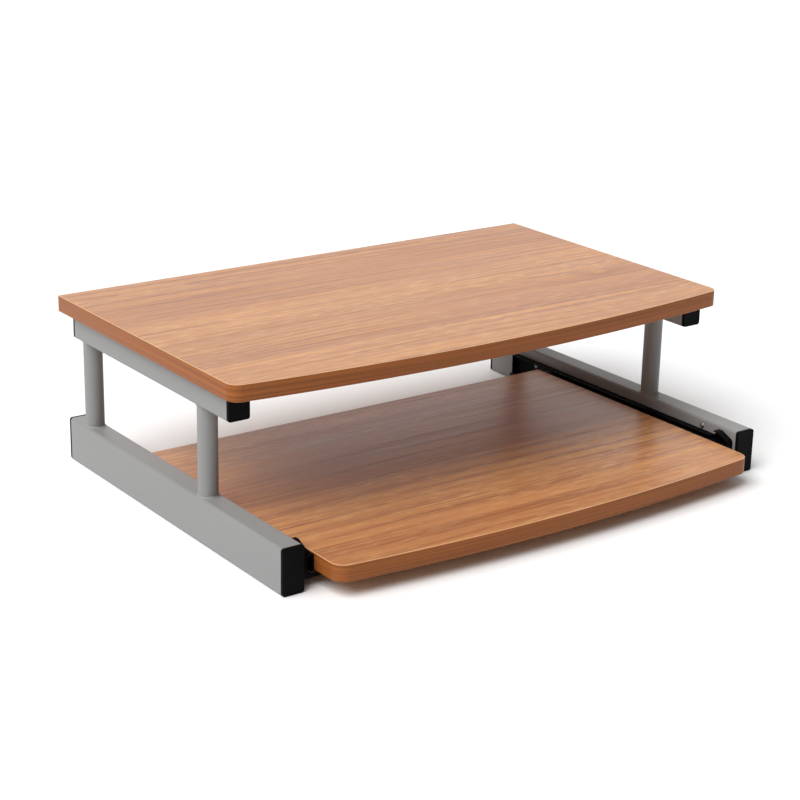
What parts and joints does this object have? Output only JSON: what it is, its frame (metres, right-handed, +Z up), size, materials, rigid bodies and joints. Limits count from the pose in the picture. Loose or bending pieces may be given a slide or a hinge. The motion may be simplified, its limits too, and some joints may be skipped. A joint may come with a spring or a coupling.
{
  "type": "standing desk converter",
  "caption": "Low desk riser: a wood-grain top board with a bowed front on two grey steel side frames, and a wood-grain keyboard tray that slides out on black roller slides.",
  "frame": {"origin": "on the desk surface, at the middle of the overall width and of the overall depth with the tray at rest", "axes": "+X to the right as seen from the front, the front faces -Y, +Z up"},
  "size_m": [0.65, 0.5046, 0.1941],
  "materials": {
    "laminate": "satin wood-grain melamine",
    "edge_band": "satin wood-grain edge banding",
    "grey_powder_coat": "fine satin powder coat",
    "black_plastic": "moulded matte",
    "black_epoxy_steel": "satin black epoxy coat",
    "black_nylon": "moulded satin",
    "zinc_steel": "bright zinc plate"
  },
  "bodies": {
    "frame": {"top_board": "laminate", "top_board_edge_band": "edge_band", "left_foot_tube": "grey_powder_coat", "left_top_tube": "grey_powder_coat", "left_front_post": "grey_powder_coat", "left_rear_post": "grey_powder_coat", "left_foot_front_cap": "black_plastic", "left_foot_rear_cap": "black_plastic", "left_top_front_cap": "black_plastic", "left_top_rear_cap": "black_plastic", "left_fixed_slide": "black_epoxy_steel", "left_front_roller_axle": "zinc_steel", "left_board_screw_1": "zinc_steel", "left_slide_screw_1": "zinc_steel", "left_board_screw_2": "zinc_steel", "left_slide_screw_2": "zinc_steel", "left_board_screw_3": "zinc_steel", "left_slide_screw_3": "zinc_steel", "left_upper_slide_screw": "zinc_steel", "right_foot_tube": "grey_powder_coat", "right_top_tube": "grey_powder_coat", "right_front_post": "grey_powder_coat", "right_rear_post": "grey_powder_coat", "right_foot_front_cap": "black_plastic", "right_foot_rear_cap": "black_plastic", "right_top_front_cap": "black_plastic", "right_top_rear_cap": "black_plastic", "right_fixed_slide": "black_epoxy_steel", "right_front_roller_axle": "zinc_steel", "right_board_screw_1": "zinc_steel", "right_slide_screw_1": "zinc_steel", "right_board_screw_2": "zinc_steel", "right_slide_screw_2": "zinc_steel", "right_board_screw_3": "zinc_steel", "right_slide_screw_3": "zinc_steel", "right_upper_slide_screw": "zinc_steel"},
    "tray": {"keyboard_tray": "laminate", "keyboard_tray_edge_band": "edge_band", "left_moving_slide": "black_epoxy_steel", "left_rear_roller_axle": "zinc_steel", "left_tray_screw_1": "zinc_steel", "left_tray_screw_2": "zinc_steel", "left_tray_screw_3": "zinc_steel", "right_moving_slide": "black_epoxy_steel", "right_rear_roller_axle": "zinc_steel", "right_tray_screw_1": "zinc_steel", "right_tray_screw_2": "zinc_steel", "right_tray_screw_3": "zinc_steel"},
    "left_front_roller_turning": {"left_front_roller": "black_nylon"},
    "left_rear_roller_turning": {"left_rear_roller": "black_nylon"},
    "right_front_roller_turning": {"right_front_roller": "black_nylon"},
    "right_rear_roller_turning": {"right_rear_roller": "black_nylon"}
  },
  "joints": [
    {"name": "tray_slide", "type": "slide", "parent": "frame", "child": "tray", "axis": [0, -1, 0], "range_m": [-0.06, 0.206]},
    {"name": "left_front_roller_spin", "type": "hinge", "parent": "frame", "child": "left_front_roller_turning", "pos_m": [-0.28575, -0.18073, 0.02175], "axis": [1, 0, 0], "continuous": true},
    {"name": "left_rear_roller_spin", "type": "hinge", "parent": "tray", "child": "left_rear_roller_turning", "pos_m": [-0.28575, 0.12027, 0.0235], "axis": [1, 0, 0], "continuous": true},
    {"name": "right_front_roller_spin", "type": "hinge", "parent": "frame", "child": "right_front_roller_turning", "pos_m": [0.28575, -0.18073, 0.02175], "axis": [1, 0, 0], "continuous": true},
    {"name": "right_rear_roller_spin", "type": "hinge", "parent": "tray", "child": "right_rear_roller_turning", "pos_m": [0.28575, 0.12027, 0.0235], "axis": [1, 0, 0], "continuous": true}
  ],
  "couplings": [
    {"joint": "left_front_roller_spin", "follows": "tray_slide", "rad_per_m": 95.694},
    {"joint": "left_rear_roller_spin", "follows": "tray_slide", "rad_per_m": 81.967},
    {"joint": "right_front_roller_spin", "follows": "tray_slide", "rad_per_m": 95.694},
    {"joint": "right_rear_roller_spin", "follows": "tray_slide", "rad_per_m": 81.967}
  ]
}
